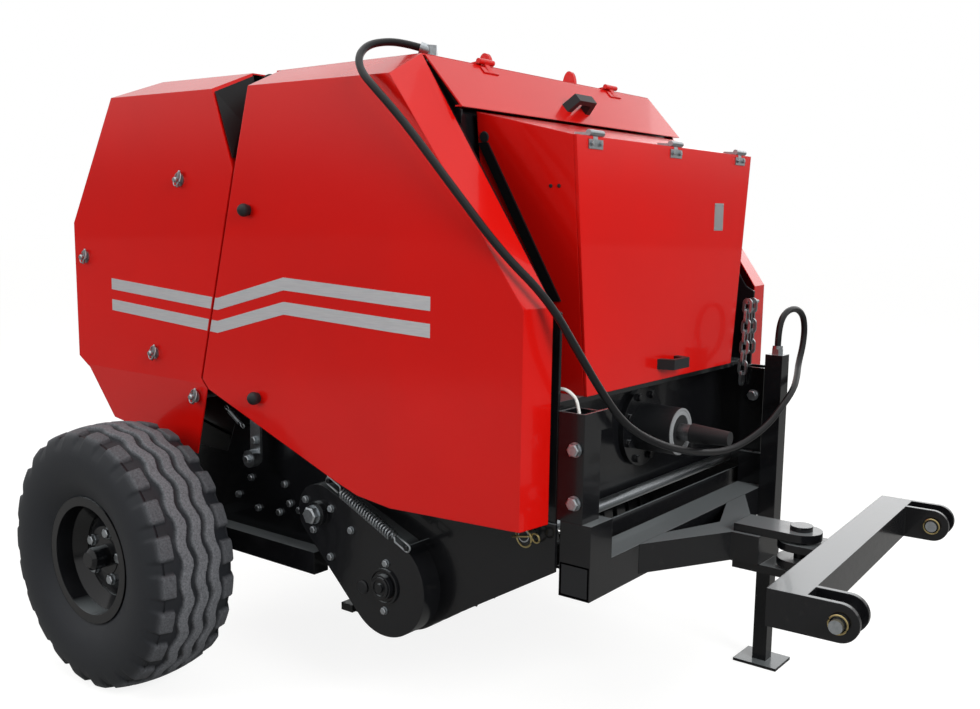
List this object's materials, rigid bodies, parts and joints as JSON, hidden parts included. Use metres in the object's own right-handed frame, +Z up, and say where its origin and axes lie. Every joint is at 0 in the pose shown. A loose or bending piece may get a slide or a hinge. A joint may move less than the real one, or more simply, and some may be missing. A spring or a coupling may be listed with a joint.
{
  "type": "round baler",
  "caption": "Towed fixed-chamber round baler with a rising tailgate, tined pickup, front twine box and swinging two-point drawbar, parked on its stand leg.",
  "frame": {"origin": "on the ground under the middle of the length and width", "axes": "+X forward to the drawbar, +Y to the machine's left, +Z up"},
  "size_m": [2.3401, 1.8882, 1.7002],
  "materials": {
    "tyre": "matte",
    "black_paint": "satin",
    "red_paint": "gloss",
    "steel": "satin",
    "zinc": "satin",
    "black_plastic": "matte",
    "hose_rubber": "satin"
  },
  "bodies": {
    "frame": {"axle_beam": "black_paint", "side_plate_left": "black_paint", "side_plate_right": "black_paint", "sill_beams": "black_paint", "pivot_tube": "black_paint", "box_shelf": "black_paint", "front_plate": "black_paint", "gearbox": "black_paint", "crossbeam": "black_paint", "hitch_post_left": "black_paint", "hitch_post_right": "black_paint", "hitch_frame": "black_paint", "stand_sleeve": "black_paint", "pickup_side_left": "black_paint", "pickup_side_right": "black_paint", "pickup_strippers": "black_paint", "drive_guard": "black_paint", "float_spring": "black_paint", "roof": "red_paint", "hood_hinges": "red_paint", "side_cover_left": "red_paint", "side_cover_right": "red_paint", "twine_box": "red_paint", "front_rollers": "steel", "lid_hinges": "zinc", "box_chain": "zinc", "crop_rod": "zinc", "tension_arm": "zinc", "hitch_pin": "zinc", "hose_fitting": "zinc", "hose_coupler": "zinc", "cover_knobs": "black_plastic", "shaft_guard": "black_plastic", "hose": "hose_rubber"},
    "wheel_left": {"tyre_left": "tyre", "rim_left": "black_paint"},
    "wheel_right": {"tyre_right": "tyre", "rim_right": "black_paint"},
    "tailgate": {"gate_cover_left": "red_paint", "gate_cover_right": "red_paint", "gate_plate_left": "black_paint", "gate_plate_right": "black_paint", "gate_pins": "zinc", "gate_shell": "red_paint", "gate_rollers": "steel"},
    "box_lid": {"box_lid": "red_paint", "lid_handle": "black_plastic", "lid_hinge_leaves": "zinc"},
    "hood": {"hood": "red_paint", "hood_handle": "black_plastic", "hood_hinge_leaves": "red_paint"},
    "drawbar": {"drawbar": "black_paint", "link_pins": "zinc"},
    "stand_leg": {"stand_leg": "black_paint"},
    "pickup_reel": {"pickup_reel": "black_paint"},
    "input_shaft": {"input_shaft": "steel", "input_cap": "black_plastic"}
  },
  "joints": [
    {"name": "wheel_left_spin", "type": "hinge", "parent": "frame", "child": "wheel_left", "pos_m": [-0.70812, 0.812, 0.355], "axis": [0, 1, 0], "continuous": true},
    {"name": "wheel_right_spin", "type": "hinge", "parent": "frame", "child": "wheel_right", "pos_m": [-0.70812, -0.812, 0.355], "axis": [0, 1, 0], "continuous": true},
    {"name": "tailgate_lift", "type": "hinge", "parent": "frame", "child": "tailgate", "pos_m": [-0.42212, 0, 1.6], "axis": [0, 1, 0], "range_deg": [0, 70]},
    {"name": "box_lid_lift", "type": "hinge", "parent": "frame", "child": "box_lid", "pos_m": [0.50618, 0, 1.468], "axis": [0, -1, 0], "range_deg": [0, 110]},
    {"name": "hood_lift", "type": "hinge", "parent": "frame", "child": "hood", "pos_m": [0.12888, 0, 1.659], "axis": [0, -1, 0], "range_deg": [0, 80]},
    {"name": "drawbar_swing", "type": "hinge", "parent": "frame", "child": "drawbar", "pos_m": [0.88388, 0, 0.485], "axis": [0, 0, 1], "range_deg": [-33, 27]},
    {"name": "stand_leg_slide", "type": "slide", "parent": "frame", "child": "stand_leg", "axis": [0, 0, 1], "range_m": [0, 0.25]},
    {"name": "pickup_reel_spin", "type": "hinge", "parent": "frame", "child": "pickup_reel", "pos_m": [0.06188, 0, 0.372], "axis": [0, 1, 0], "continuous": true},
    {"name": "input_shaft_spin", "type": "hinge", "parent": "frame", "child": "input_shaft", "pos_m": [0.59188, 0, 0.737], "axis": [1, 0, 0], "continuous": true}
  ]
}
